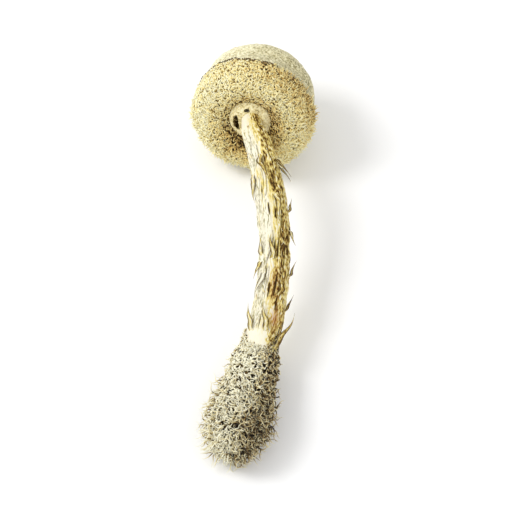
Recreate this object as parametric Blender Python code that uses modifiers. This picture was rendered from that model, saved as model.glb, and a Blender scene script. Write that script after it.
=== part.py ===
"""A picked toadstool lying on its side, with its head at +Y and its woolly foot at -Y.

A pale domed cap sits over a thick woolly roll. A thin torn collar closes the roll around the top of a bent,
shaggy stem, whose skin has split into loose pointed scales. The stem ends in a swollen foot. The cap's flank
and the foot rest on the plane z = 0. Units are metres and +Z is up.
"""
import math

import bpy
import bmesh
from mathutils import Matrix, Vector

MM = 0.001
GAP = 0.3 * MM
MERGE = 0.01 * MM
OBJECT_NAME = "toadstool"

# Where the head stands. Heights on the head are measured along its axis from the roll's widest ring, and
# positive heights run to the dome's top.
HEAD_CENTRE = Vector((0.0, 0.0, 28.3)) * MM
HEAD_DROOP = math.radians(25.0)
HEAD_TURN = math.radians(12.8)

# Cap
CAP_RADIUS = 25.2 * MM
CAP_RIM_RADIUS = 24.6 * MM
CAP_CROWN = 17.0 * MM
CAP_WIDEST_HEIGHT = 12.2 * MM
CAP_UNDERSIDE_HEIGHT = 3.4 * MM
CAP_RIM_ROUND = 1.4 * MM
CAP_DOME_POINTS = 15
CAP_RIM_POINTS = 4

# Woolly roll
ROLL_RING_RADIUS = 17.3 * MM
ROLL_HALF_WIDTH = 9.4 * MM
ROLL_HALF_DEPTH = 9.6 * MM
ROLL_BORE_RADIUS = 9.6 * MM
ROLL_LIP_HEIGHT = -5.6 * MM
ROLL_POINTS = 20

# Collar
COLLAR_OUTER_RADIUS = 9.2 * MM
COLLAR_INNER_RADIUS = 5.5 * MM
COLLAR_FRONT_HEIGHT = -8.2 * MM
COLLAR_BACK_HEIGHT = -5.4 * MM
COLLAR_POINTS = 9
COLLAR_HOLES = (
    # angle round the axis, distance from the axis, size along the ring, size across it
    (math.radians(176.0), 7.3 * MM, 6.0 * MM, 2.5 * MM),
    (math.radians(-114.0), 7.5 * MM, 2.6 * MM, 1.9 * MM),
)
HOLE_DEPTH = 50.0 * MM
HOLE_SIDES = 20

# Stem: points of its centre line between the collar and the foot, each with the stem's radius there.
# X and Y start under the head's centre, and all four numbers are in millimetres.
STEM_ROUTE = (
    (-0.4, -10.8, 34.2, 4.8),
    (1.2, -17.6, 36.4, 5.1),
    (3.6, -27.5, 37.0, 5.7),
    (6.2, -39.0, 35.6, 6.2),
    (8.6, -52.5, 32.2, 6.3),
    (9.4, -66.0, 28.2, 6.4),
    (8.9, -79.0, 24.4, 6.6),
    (7.6, -91.8, 20.4, 6.8),
    (5.2, -104.0, 16.8, 7.2),
)
STEM_TOP_RADIUS = 4.7 * MM
STEM_FOOT_RADIUS = 7.9 * MM
STEM_SPAN_STEPS = 5
STEM_BEVEL_RESOLUTION = 4

# Foot: a swollen end round the stem's lower end, along its own straight axis
FOOT_TOP = Vector((2.2, -114.2, 13.7)) * MM
FOOT_END = Vector((-12.0, -167.0, 10.3)) * MM
FOOT_PROFILE = (
    # share of the foot's length from its top, radius in millimetres
    (0.00, 9.6),
    (0.08, 10.4),
    (0.25, 11.6),
    (0.45, 12.3),
    (0.62, 12.4),
    (0.77, 11.5),
    (0.89, 9.0),
    (0.96, 5.9),
    (0.99, 3.0),
)
FOOT_SOCKET_DEPTH = 6.0 * MM
FOOT_SOCKET_RADIUS = 8.5 * MM

# Scales: thin strips of the stem's skin, torn loose at their pointed ends
SCALE_THICKNESS = 0.6 * MM
SCALE_ROOT_GAP = 0.4 * MM
SCALE_TIP_SHARE = 0.12
SCALE_TAPER_POWER = 0.8
SCALE_ROWS = 9
TO_HEAD = 1
TO_FOOT = -1
SCALES = (
    # distance of the root along the stem from the collar, angle round the stem (0 is +X and 90 is up), the
    # end that the tip points to, length, width, lift of the tip and its sideways drift; in mm and degrees
    (26.0, 34, TO_FOOT, 10.5, 2.0, 4.0, -14),
    (28.0, -6, TO_FOOT, 8.5, 1.8, 3.4, -4),
    (50.5, 8, TO_HEAD, 6.5, 2.0, 2.0, -6),
    (57.5, 20, TO_FOOT, 7.5, 2.2, 2.4, -6),
    (78.5, 12, TO_HEAD, 8.0, 1.8, 2.8, -8),
    (93.5, 8, TO_HEAD, 8.5, 1.8, 2.4, -6),
    (110.5, 28, TO_HEAD, 18.0, 3.0, 4.4, -14),
    (31.0, 160, TO_FOOT, 14.0, 3.0, 0.9, 4),
    (71.8, 143, TO_FOOT, 9.0, 2.4, 1.8, 14),
    (70.5, 140, TO_HEAD, 11.0, 2.6, 1.6, 6),
    (77.0, 126, TO_FOOT, 13.5, 3.0, 1.0, 18),
    (105.5, 136, TO_HEAD, 13.5, 3.6, 2.6, 20),
    (24.0, 100, TO_FOOT, 15.0, 3.4, 1.2, 6),
    (42.0, 78, TO_FOOT, 15.0, 4.0, 1.6, -8),
    (72.0, 96, TO_HEAD, 12.0, 4.0, 1.5, 6),
    (88.0, 62, TO_HEAD, 13.0, 3.6, 1.4, -8),
    (104.0, 84, TO_HEAD, 13.0, 3.2, 1.2, 22),
    (45.0, 296, TO_FOOT, 14.0, 3.6, 2.6, 8),
    (58.0, 236, TO_FOOT, 15.0, 3.6, 2.4, -8),
    (76.0, 276, TO_HEAD, 14.0, 3.4, 2.0, 6),
    (90.0, 222, TO_HEAD, 13.0, 3.2, 1.8, 8),
)

# Materials: colour as linear red, green and blue, and roughness
SURFACES = {
    "pale_cap_skin": ((0.78, 0.74, 0.55), 0.45),
    "ochre_wool": ((0.66, 0.55, 0.30), 0.95),
    "pale_torn_skin": ((0.80, 0.76, 0.52), 0.6),
    "fibrous_stem": ((0.75, 0.68, 0.42), 0.7),
    "torn_stem_skin": ((0.72, 0.62, 0.36), 0.7),
    "grey_wool": ((0.60, 0.55, 0.38), 0.95),
}

ROUND_STEPS = 56
FLOOR_CUTTER_SIZE = 0.4


def clear_scene():
    """Remove every object that the new scene came with."""
    for item in list(bpy.data.objects):
        bpy.data.objects.remove(item, do_unlink=True)


def new_collection(name):
    """Add a collection to the scene."""
    group = bpy.data.collections.new(name)
    bpy.context.scene.collection.children.link(group)
    return group


def surface(name):
    """Make a Principled material of one colour."""
    colour, roughness = SURFACES[name]
    material = bpy.data.materials.new(name)
    material.use_nodes = True
    shader = material.node_tree.nodes["Principled BSDF"]
    shader.inputs["Base Color"].default_value = (*colour, 1.0)
    shader.inputs["Roughness"].default_value = roughness
    shader.inputs["Metallic"].default_value = 0.0
    return material


def add_object(name, data, group, material=None):
    """Add an object for mesh or curve data, with its material if it has one."""
    item = bpy.data.objects.new(name, data)
    group.objects.link(item)
    if material is not None:
        data.materials.append(material)
    return item


def mesh_from(name, points, edges, faces):
    """Make a mesh from points, edges and faces."""
    mesh = bpy.data.meshes.new(name)
    mesh.from_pydata([tuple(point) for point in points], edges, faces)
    mesh.update()
    return mesh


def arc(centre_r, centre_h, size_r, size_h, start, end, count):
    """Points of an elliptical arc in the plane of radius and height, between two angles in degrees."""
    angles = [math.radians(start + (end - start) * i / (count - 1)) for i in range(count)]
    return [(centre_r + size_r * math.cos(a), centre_h + size_h * math.sin(a)) for a in angles]


def turned(name, outline, group, material, closed=False):
    """Turn an outline of (radius, height) points about Z with a Screw modifier."""
    points = [(radius, 0.0, height) for radius, height in outline]
    edges = [(i, i + 1) for i in range(len(points) - 1)]
    if closed:
        edges.append((len(points) - 1, 0))
    item = add_object(name, mesh_from(name, points, edges, []), group, material)
    screw = item.modifiers.new("turn", "SCREW")
    screw.axis = "Z"
    screw.angle = math.tau
    screw.steps = ROUND_STEPS
    screw.render_steps = ROUND_STEPS
    screw.use_merge_vertices = True
    screw.merge_threshold = MERGE
    screw.use_smooth_shade = True
    return item


def place_on_head(item):
    """Stand an object on the head's axis, with its own +Z towards the dome's top."""
    item.location = HEAD_CENTRE
    item.rotation_euler = (-(math.pi / 2 + HEAD_DROOP), 0.0, -HEAD_TURN)


def head_axis():
    """Direction of the head's axis, towards the dome's top."""
    level = math.cos(HEAD_DROOP)
    return Vector((level * math.sin(HEAD_TURN), level * math.cos(HEAD_TURN), -math.sin(HEAD_DROOP)))


def cut(item, cutter):
    """Cut one object with another."""
    boolean = item.modifiers.new("cut", "BOOLEAN")
    boolean.operation = "DIFFERENCE"
    boolean.solver = "EXACT"
    boolean.object = cutter


def as_cutter(item):
    """Show an object as a wire guide only."""
    item.hide_render = True
    item.display_type = "WIRE"
    return item


def floor_cutter(cutters):
    """A block below z = 0 that trims the flats which the toadstool lies on."""
    mesh = bpy.data.meshes.new("floor_block")
    shape = bmesh.new()
    bmesh.ops.create_cube(shape, size=FLOOR_CUTTER_SIZE)
    bmesh.ops.translate(shape, verts=shape.verts, vec=(0.0, 0.0, -FLOOR_CUTTER_SIZE / 2))
    shape.to_mesh(mesh)
    shape.free()
    return as_cutter(add_object("floor_block", mesh, cutters))


def build_cap(parts, floor_block):
    """Dome with a steep flank, a rounded rim and a level underside."""
    dome = arc(0.0, CAP_WIDEST_HEIGHT, CAP_RADIUS, CAP_CROWN, 90, 0, CAP_DOME_POINTS)
    dome[0] = (0.0, CAP_WIDEST_HEIGHT + CAP_CROWN)
    rim_centre = CAP_RIM_RADIUS - CAP_RIM_ROUND
    rim_height = CAP_UNDERSIDE_HEIGHT + CAP_RIM_ROUND
    rim = arc(rim_centre, rim_height, CAP_RIM_ROUND, CAP_RIM_ROUND, 0, -90, CAP_RIM_POINTS)
    outline = dome + rim + [(0.0, CAP_UNDERSIDE_HEIGHT)]
    cap = turned("cap", outline, parts, surface("pale_cap_skin"))
    place_on_head(cap)
    cut(cap, floor_block)


def build_roll(parts):
    """Fat ring under the cap: flat against the cap's underside, with a straight bore for the stem's top."""
    top = CAP_UNDERSIDE_HEIGHT - GAP
    top_angle = math.degrees(math.asin(top / ROLL_HALF_DEPTH))
    lip_angle = math.degrees(math.asin(-ROLL_LIP_HEIGHT / ROLL_HALF_DEPTH))
    end_angle = lip_angle - 180
    outer = arc(ROLL_RING_RADIUS, 0.0, ROLL_HALF_WIDTH, ROLL_HALF_DEPTH, top_angle, end_angle, ROLL_POINTS)
    outline = [(ROLL_BORE_RADIUS, top)] + outer + [(ROLL_BORE_RADIUS, ROLL_LIP_HEIGHT)]
    roll = turned("wool_roll", outline, parts, surface("ochre_wool"), closed=True)
    place_on_head(roll)


def build_collar(parts, cutters):
    """Thin domed ring across the roll's bore, with two torn holes."""
    middle = (COLLAR_OUTER_RADIUS + COLLAR_INNER_RADIUS) / 2
    half = (COLLAR_OUTER_RADIUS - COLLAR_INNER_RADIUS) / 2
    rise = COLLAR_BACK_HEIGHT - COLLAR_FRONT_HEIGHT
    crown = arc(middle, COLLAR_BACK_HEIGHT, half, rise, 0, -180, COLLAR_POINTS)
    collar = turned("collar", crown, parts, surface("pale_torn_skin"), closed=True)
    place_on_head(collar)
    turn = collar.rotation_euler.to_matrix().to_4x4()
    for number, (angle, distance, along, across) in enumerate(COLLAR_HOLES, start=1):
        mesh = bpy.data.meshes.new("hole_%d" % number)
        shape = bmesh.new()
        bmesh.ops.create_cone(
            shape, cap_ends=True, segments=HOLE_SIDES, radius1=0.5, radius2=0.5, depth=HOLE_DEPTH
        )
        bmesh.ops.scale(shape, verts=shape.verts, vec=(across, along, 1.0))
        shape.to_mesh(mesh)
        shape.free()
        hole = as_cutter(add_object("hole_%d" % number, mesh, cutters))
        on_axis = Matrix.Rotation(angle, 4, "Z") @ Matrix.Translation((distance, 0.0, COLLAR_FRONT_HEIGHT))
        hole.matrix_world = Matrix.Translation(HEAD_CENTRE) @ turn @ on_axis
        cut(collar, hole)


def smooth_route(knots, steps):
    """Catmull-Rom curve through the knots: a cubic for each span, with slopes from the knots beside it."""
    padded = [2 * knots[0] - knots[1]] + knots + [2 * knots[-1] - knots[-2]]
    points = []
    for before, start, end, after in zip(padded, padded[1:], padded[2:], padded[3:]):
        slope = end - before
        bend = 2 * before - 5 * start + 4 * end - after
        twist = 3 * start - before - 3 * end + after
        for step in range(steps):
            t = step / steps
            points.append(start + (slope * t + bend * t**2 + twist * t**3) / 2)
    points.append(knots[-1])
    return points


def stem_route():
    """Points and radii of the stem's centre line, from the cap's underside to the bottom of the socket."""
    top = HEAD_CENTRE + head_axis() * (CAP_UNDERSIDE_HEIGHT - GAP)
    neck = HEAD_CENTRE + head_axis() * COLLAR_FRONT_HEIGHT
    into_foot = (FOOT_END - FOOT_TOP).normalized()
    end = FOOT_TOP + into_foot * (FOOT_SOCKET_DEPTH - GAP)
    knots = [Vector((*top, STEM_TOP_RADIUS)), Vector((*neck, STEM_TOP_RADIUS))]
    knots += [Vector(point) * MM for point in STEM_ROUTE]
    knots.append(Vector((*FOOT_TOP, STEM_FOOT_RADIUS)))
    knots.append(Vector((*end, FOOT_SOCKET_RADIUS - GAP)))
    return smooth_route(knots, STEM_SPAN_STEPS)


def build_stem(parts):
    """Round tube of changing radius along the route, closed at both ends."""
    route = stem_route()
    curve = bpy.data.curves.new("stem", "CURVE")
    curve.dimensions = "3D"
    curve.bevel_depth = 1.0
    curve.bevel_resolution = STEM_BEVEL_RESOLUTION
    curve.use_fill_caps = True
    spline = curve.splines.new("POLY")
    spline.points.add(len(route) - 1)
    for point, place in zip(spline.points, route):
        point.co = (place[0], place[1], place[2], 1.0)
        point.radius = place[3]
    add_object("stem", curve, parts, surface("fibrous_stem"))


def build_foot(parts, floor_block):
    """Swollen club with a socket in its top for the stem."""
    length = (FOOT_END - FOOT_TOP).length
    side = [(radius * MM, -share * length) for share, radius in FOOT_PROFILE]
    socket = [(0.0, -FOOT_SOCKET_DEPTH), (FOOT_SOCKET_RADIUS, -FOOT_SOCKET_DEPTH), (FOOT_SOCKET_RADIUS, 0.0)]
    outline = socket + side + [(0.0, -length)]
    foot = turned("woolly_foot", outline, parts, surface("grey_wool"))
    foot.location = FOOT_TOP
    foot.rotation_mode = "QUATERNION"
    foot.rotation_quaternion = Vector((0.0, 0.0, 1.0)).rotation_difference(FOOT_TOP - FOOT_END)
    cut(foot, floor_block)


class StemGuide:
    """Finds places on the stem's skin from a distance along it and an angle round it."""

    def __init__(self):
        """Start the distances at the collar, where the route's second knot stands."""
        route = stem_route()[STEM_SPAN_STEPS:]
        self.centres = [Vector(point[:3]) for point in route]
        self.radii = [point[3] for point in route]
        self.marks = [0.0]
        for start, end in zip(self.centres, self.centres[1:]):
            self.marks.append(self.marks[-1] + (end - start).length)

    def span(self, distance):
        """Number of the stretch that holds a distance, and the share of that stretch before it."""
        last = len(self.marks) - 2
        number = min(last, max(0, sum(mark <= distance for mark in self.marks) - 1))
        return number, (distance - self.marks[number]) / (self.marks[number + 1] - self.marks[number])

    def place(self, distance, angle, height, across):
        """Point at a height above the skin, and a distance across from an angle round the stem.

        Angle 0 is the stem's +X side and a quarter turn is its upper side.
        """
        number, share = self.span(distance)
        start, end = self.centres[number], self.centres[number + 1]
        along = (end - start).normalized()
        side = Vector((0.0, 0.0, 1.0)).cross(along).normalized()
        upward = along.cross(side)
        reach = self.radii[number] * (1 - share) + self.radii[number + 1] * share + height
        turn = angle + across / reach
        return start.lerp(end, share) + (side * math.cos(turn) + upward * math.sin(turn)) * reach


def build_scale(number, row, guide, material, parts):
    """Strip loft: rows across the stem that narrow to the tip and lift off with the square of the way."""
    root, angle, direction, length, width, lift, drift = row
    root_height = SCALE_ROOT_GAP + SCALE_THICKNESS / 2
    points = []
    for step in range(SCALE_ROWS):
        way = step / (SCALE_ROWS - 1)
        distance = (root - direction * length * way) * MM
        narrowing = max(0.0, math.cos(way * math.pi / 2)) ** SCALE_TAPER_POWER
        taper = SCALE_TIP_SHARE + (1 - SCALE_TIP_SHARE) * narrowing
        height = root_height + lift * MM * way**2
        turn = math.radians(angle + drift * way)
        points += [guide.place(distance, turn, height, side * width * MM / 2 * taper) for side in (-1, 0, 1)]
    faces = []
    for step in range(SCALE_ROWS - 1):
        for column in (0, 1):
            a = 3 * step + column
            quad = (a, a + 1, a + 4, a + 3)
            faces.append(quad if direction == TO_FOOT else quad[::-1])
    name = "stem_scale_%02d" % number
    scale = add_object(name, mesh_from(name, points, [], faces), parts, material)
    solid = scale.modifiers.new("thickness", "SOLIDIFY")
    solid.thickness = SCALE_THICKNESS
    solid.offset = 0.0


def centre_on_origin(groups, parts):
    """Slide everything level, so that the middle of the toadstool's plan is at the origin."""
    bpy.context.view_layer.update()
    graph = bpy.context.evaluated_depsgraph_get()
    corners = []
    for item in parts.objects:
        shown = item.evaluated_get(graph)
        mesh = shown.to_mesh()
        corners += [shown.matrix_world @ vertex.co for vertex in mesh.vertices]
        shown.to_mesh_clear()
    middle = [(min(c[axis] for c in corners) + max(c[axis] for c in corners)) / 2 for axis in (0, 1)]
    for group in groups:
        for item in group.objects:
            item.location -= Vector((*middle, 0.0))


def main():
    """Build every piece and centre the toadstool."""
    clear_scene()
    parts = new_collection(OBJECT_NAME)
    cutters = new_collection("cutters")
    floor_block = floor_cutter(cutters)
    build_cap(parts, floor_block)
    build_roll(parts)
    build_collar(parts, cutters)
    build_stem(parts)
    build_foot(parts, floor_block)
    guide = StemGuide()
    skin = surface("torn_stem_skin")
    for number, row in enumerate(SCALES, start=1):
        build_scale(number, row, guide, skin, parts)
    centre_on_origin((parts, cutters), parts)


main()
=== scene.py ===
"""Looks of a picked toadstool: cap skin, woolly roll, torn collar, stem with loose scales, woolly foot.

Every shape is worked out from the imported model: the head's axis from the roll, the stem's route and radius
from the stem, the foot's outline from the foot, and each loose scale from its own solid. Lengths are in
metres. Angles round the head, stem and foot run from the right side over the top.
"""

import math
from functools import partial

import bpy
import numpy as np
from bpy.props import FloatProperty, FloatVectorProperty, IntProperty, PointerProperty
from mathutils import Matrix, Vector


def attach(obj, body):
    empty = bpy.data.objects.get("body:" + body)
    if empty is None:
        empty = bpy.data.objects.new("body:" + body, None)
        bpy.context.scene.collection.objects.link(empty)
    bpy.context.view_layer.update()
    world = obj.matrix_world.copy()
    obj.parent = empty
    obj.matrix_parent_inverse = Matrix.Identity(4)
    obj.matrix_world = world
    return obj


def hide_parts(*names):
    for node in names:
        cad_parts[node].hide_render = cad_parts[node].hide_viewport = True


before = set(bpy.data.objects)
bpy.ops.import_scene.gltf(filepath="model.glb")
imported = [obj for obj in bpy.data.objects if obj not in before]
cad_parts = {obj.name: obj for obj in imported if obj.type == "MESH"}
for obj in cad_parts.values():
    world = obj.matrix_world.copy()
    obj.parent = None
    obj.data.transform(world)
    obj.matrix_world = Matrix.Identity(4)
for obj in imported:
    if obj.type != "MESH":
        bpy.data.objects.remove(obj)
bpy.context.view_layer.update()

bl_info = {
    "name": "Toadstool looks",
    "version": (1, 0, 0),
    "blender": (4, 5, 0),
    "location": "View3D > Sidebar > Toadstool",
    "description": "Builds the finished surfaces of a toadstool lying on its side",
    "category": "Add Mesh",
}

MM = 0.001
DEG = math.pi / 180.0
TURN = 2.0 * math.pi
BODY = "root"
SCALE_NODES = sorted(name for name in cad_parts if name.startswith("stem_scale_"))
SKIN_CLEARANCE = 0.5 * MM
WOOL_CLEARANCE = 0.8 * MM
LOWEST_POINT = 0.03 * MM
NO_TRIANGLES = np.zeros((0, 3), int)


# ---------------- numbers and noise


def unit(vectors):
    """Vectors scaled to length one."""
    return vectors / np.linalg.norm(vectors, axis=-1, keepdims=True)


def ease(value, start=0.0, end=1.0):
    """Smooth step: 0 at start, 1 at end, and level at both."""
    share = np.clip((value - start) / (end - start), 0.0, 1.0)
    return share * share * (3.0 - 2.0 * share)


def bell(value, width):
    """Bell curve: 1 at zero, and 1 / e at the width."""
    return np.exp(-((value / width) ** 2))


def angle_gap(first, second):
    """Signed angle from second to first, between minus and plus half a turn."""
    return (first - second + math.pi) % TURN - math.pi


def facing(vectors, guide):
    """The vectors or their opposites, whichever go more with the guide."""
    return vectors * np.sign((vectors * guide).sum() + 1e-9)


def lengths_along(points):
    """Distance of each point from the first, along the line through them."""
    return np.concatenate([[0.0], np.cumsum(np.linalg.norm(np.diff(points, axis=0), axis=1))])


def full_turn(rows, columns):
    """Row values downwards and angles once round, each as a full grid."""
    angle = np.linspace(0.0, TURN, columns, endpoint=False)
    return [grid.copy() for grid in np.broadcast_arrays(rows[:, None], angle[None, :])]


def soft_noise(seed, around, along, columns, rows):
    """Random values from -1 to 1 on a lattice, joined by smooth steps. around wraps once from 0 to 1."""
    values = np.random.default_rng(seed).uniform(-1.0, 1.0, (rows + 2, columns))
    column = (around % 1.0) * columns
    row = np.clip(along, 0.0, 1.0) * rows
    left = np.floor(column).astype(int)
    low = np.floor(row).astype(int)
    across = ease(column - left)
    up = ease(row - low)
    left = left % columns
    right = (left + 1) % columns
    lower = values[low, left] * (1.0 - across) + values[low, right] * across
    upper = values[low + 1, left] * (1.0 - across) + values[low + 1, right] * across
    return lower * (1.0 - up) + upper * up


def ring_noise(seed, angle, columns):
    """Soft noise that changes only round the axis."""
    return soft_noise(seed, angle / TURN, 0.0 * angle, columns, 1)


def above_floor(points, depth=SKIN_CLEARANCE):
    """Fades heights below depth towards the floor, as depth times e to the power (z / depth - 1)."""
    z = points[..., 2]
    points[..., 2] = np.where(z < depth, depth * np.exp(np.minimum(z, depth) / depth - 1.0), z)
    return points


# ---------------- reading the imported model


def node_points(name):
    """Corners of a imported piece, each once."""
    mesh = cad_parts[name].data
    flat = np.empty(len(mesh.vertices) * 3)
    mesh.vertices.foreach_get("co", flat)
    return np.unique(flat.reshape(-1, 3).round(6), axis=0)


def end_faces(name, rough):
    """Mean direction, weighted by area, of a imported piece's faces within about 14 degrees of rough."""
    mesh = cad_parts[name].data
    normals = np.empty(len(mesh.polygons) * 3)
    areas = np.empty(len(mesh.polygons))
    mesh.polygons.foreach_get("normal", normals)
    mesh.polygons.foreach_get("area", areas)
    normals = normals.reshape(-1, 3)
    near = normals @ rough > 0.97
    return unit((normals[near] * areas[near, None]).sum(axis=0))


class Head:
    """The head's own axes: `right` and `up` lie across it, and `crown` runs to the dome's top."""

    def __init__(self):
        """The roll is a turned ring, so its corners spread evenly across its axis and least along it."""
        roll = node_points("wool_roll")
        cap = node_points("cap")
        self.centre = roll.mean(axis=0)
        spans = np.linalg.eigh(np.cov((roll - self.centre).T))[1]
        rough = spans[:, 0] * np.sign(spans[:, 0] @ (cap.mean(axis=0) - self.centre))
        self.crown = -end_faces("cap", -rough)
        self.right = unit(np.array([1.0, 0.0, 0.0]) - self.crown * self.crown[0])
        self.up = np.cross(self.right, self.crown)
        height, radius = self.measure(roll)
        self.centre = self.centre + self.crown * height[np.argmax(radius)]

    def measure(self, points):
        """Heights along the axis and distances from it."""
        offset = points - self.centre
        height = offset @ self.crown
        return height, np.linalg.norm(offset - height[..., None] * self.crown, axis=-1)

    def place(self, angle, radius, height):
        """Points at an angle from `right` towards `up`, a distance from the axis and a height along it."""
        angle, radius, height = np.broadcast_arrays(angle, radius, height)
        across = np.cos(angle)[..., None] * self.right + np.sin(angle)[..., None] * self.up
        return self.centre + radius[..., None] * across + height[..., None] * self.crown

    def outline(self, name, ring, level):
        """Section of a packed ring or dome as sorted angles and distances about the point (ring, level).

        Only corners on the upper side count, because the floor cuts the lower ones.
        """
        points = node_points(name)
        points = points[(points - self.centre) @ self.up > -0.01 * MM]
        height, radius = self.measure(points)
        angle = np.arctan2(height - level, radius - ring)
        distance = np.hypot(height - level, radius - ring)
        key, first = np.unique(angle.round(2), return_index=True)
        return key, distance[first]


class Route:
    """A centre line with a radius. Angles round it run from its side, towards +X, to its top."""

    def __init__(self, points, radii, start=0.0):
        """Distances run from start at the first point."""
        self.distance = start + lengths_along(points)
        self.points = points
        self.radii = radii
        self.along = unit(np.gradient(points, self.distance, axis=0))

    def at(self, distance):
        """Centre, radius and the directions along, side and top at each distance."""
        centre, along = (
            np.stack([np.interp(distance, self.distance, line[:, k]) for k in range(3)], axis=-1)
            for line in (self.points, self.along)
        )
        along = unit(along)
        side = unit(np.cross(np.array([0.0, 0.0, 1.0]), along))
        return centre, np.interp(distance, self.distance, self.radii), along, side, np.cross(along, side)

    def place(self, distance, angle, rise):
        """Points at a rise above the line's own radius."""
        distance, angle, rise = np.broadcast_arrays(distance, angle, rise)
        centre, radius, _, side, top = self.at(distance)
        outward = np.cos(angle)[..., None] * side + np.sin(angle)[..., None] * top
        return centre + outward * (radius + rise)[..., None]

    def nearest(self, point):
        """Number of the line's point nearest to a point."""
        return np.argmin(np.linalg.norm(self.points - point, axis=1))


def foot_route():
    """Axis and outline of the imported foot, from its open top to its far tip.

    The axis is square to the flat faces of the top. The outline joins the upper side's rings of corners,
    sorted 0.1 mm apart, because the floor cuts the lower side. Near the top it leaves out the socket's
    narrower rings.
    """
    corners = node_points("woolly_foot")
    head_end = corners[corners[:, 1] > np.quantile(corners[:, 1], 0.8)].mean(axis=0)
    axis = end_faces("woolly_foot", unit(head_end - corners[np.argmin(corners[:, 1])]))
    height = corners @ axis
    top = corners[height > height.max() - 0.05 * MM].mean(axis=0)
    distance = (top - corners) @ axis
    offset = corners - top + distance[:, None] * axis
    radius = np.linalg.norm(offset, axis=1)
    upper = offset[:, 2] > 0
    pitch = 0.1 * MM
    rings, place = np.unique((distance[upper] / pitch).round(), return_inverse=True)
    widest = np.zeros(len(rings))
    np.maximum.at(widest, place, radius[upper])
    near_top = rings < rings[-1] * 0.3
    keep = (widest > 0.93 * widest[0]) | ~near_top
    stations = np.linspace(0.0, distance.max(), 60)
    outline = np.interp(stations, rings[keep] * pitch, widest[keep])
    outline[-1] = 0.0
    return Route(top - stations[:, None] * axis, outline)


def stem_route(head, foot):
    """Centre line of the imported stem, from in the head to in the foot, measured from the collar's front.

    It is walked up from the foot in steps of 2 mm. Each step goes on in the heading so far, then moves twice
    to the mean of the corners near its own cross-section, weighted by a bell curve of the distance from that
    section.
    """
    corners = node_points("stem")
    front = head.measure(node_points("collar"))[0].min()
    point = foot.points[0] + foot.along[0] * 3 * MM
    heading = -foot.along[0]
    line = []
    radii = []
    while (point - head.centre) @ head.crown < 0.0:
        for _ in range(2):
            offset = corners - point
            reach = offset @ heading
            weight = bell(reach, 2.5 * MM) * (np.linalg.norm(offset, axis=1) < 12 * MM)
            flat = offset - reach[:, None] * heading
            point = point + weight @ flat / weight.sum()
        if line:
            heading = unit(0.6 * heading + 0.4 * unit(point - line[-1]))
        line.append(point)
        radii.append(weight @ np.linalg.norm(flat, axis=1) / weight.sum())
        point = point + heading * 2 * MM
    line = np.array(line[::-1])
    for _ in range(3):
        line[1:-1] = 0.25 * line[:-2] + 0.5 * line[1:-1] + 0.25 * line[2:]
    neck = np.interp(-front, -head.measure(line)[0][:12], lengths_along(line)[:12])
    stations = np.arange(len(line))
    clean = slice(4, -5)
    return Route(line, np.interp(stations, stations[clean], np.array(radii[::-1])[clean]), -neck)


HEAD = Head()
FOOT = foot_route()
STEM = stem_route(HEAD, FOOT)
FOOT_LENGTH = FOOT.distance[-1] / MM


# ---------------- meshes


def grid_faces(rows, columns, closed=False):
    """Quads between rows of points round an axis. A closed grid's last row also joins its first."""
    row, column = np.meshgrid(np.arange(rows if closed else rows - 1), np.arange(columns), indexing="ij")
    beside = (column + 1) % columns
    below = (row + 1) % rows * columns
    here = row * columns
    return np.stack([here + column, here + beside, below + beside, below + column], axis=-1).reshape(-1, 4)


def closed_band(rings, start, end):
    """Points, quads and triangles of a band of rings closed by a point at each end."""
    rows, columns = rings.shape[:2]
    points = np.concatenate([rings.reshape(-1, 3), start[None], end[None]])
    here = np.arange(columns)
    beside = (here + 1) % columns
    last = (rows - 1) * columns
    begin = np.stack([np.full(columns, rows * columns), beside, here], axis=-1)
    finish = np.stack([np.full(columns, rows * columns + 1), last + here, last + beside], axis=-1)
    return points, grid_faces(rows, columns), np.concatenate([begin, finish])


def on_band(values):
    """A band's values, one a point or one a direction, with zeros for its two closing points."""
    if values.ndim == 3:
        return np.concatenate([values.reshape(-1, 3), np.zeros((2, 3))])
    return np.concatenate([values.ravel(), [0.0, 0.0]])


def tapered_tubes(paths, widths, across, sides):
    """Points and faces of closed tapering tubes.

    paths is (tubes, stations, 3) and widths (tubes, stations). Each station but the last carries a regular
    polygon square to the path, turned by across, and the last station is one point.
    """
    count, stations = widths.shape
    along = unit(np.gradient(paths, axis=1))
    other = unit(np.cross(along, np.broadcast_to(across[:, None], along.shape)))
    side = np.cross(other, along)
    turn = np.linspace(0.0, TURN, sides, endpoint=False)[:, None]
    ring = np.cos(turn) * side[:, :-1, None] + np.sin(turn) * other[:, :-1, None]
    rings = paths[:, :-1, None] + 0.5 * widths[:, :-1, None, None] * ring
    points = np.concatenate([rings.reshape(count, -1, 3), paths[:, -1:]], axis=1)
    first = (np.arange(count) * points.shape[1])[:, None, None]
    here = np.arange(sides)
    last = (stations - 2) * sides
    tip = np.stack([last + here, last + (here + 1) % sides, np.full(sides, last + sides)], axis=-1)
    root = np.stack([np.zeros(sides - 2, int), here[2:], here[1:-1]], axis=-1)
    quads = (first + grid_faces(stations - 1, sides)[None]).reshape(-1, 4)
    return points.reshape(-1, 3), quads, (first + np.concatenate([tip, root])[None]).reshape(-1, 3)


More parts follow.
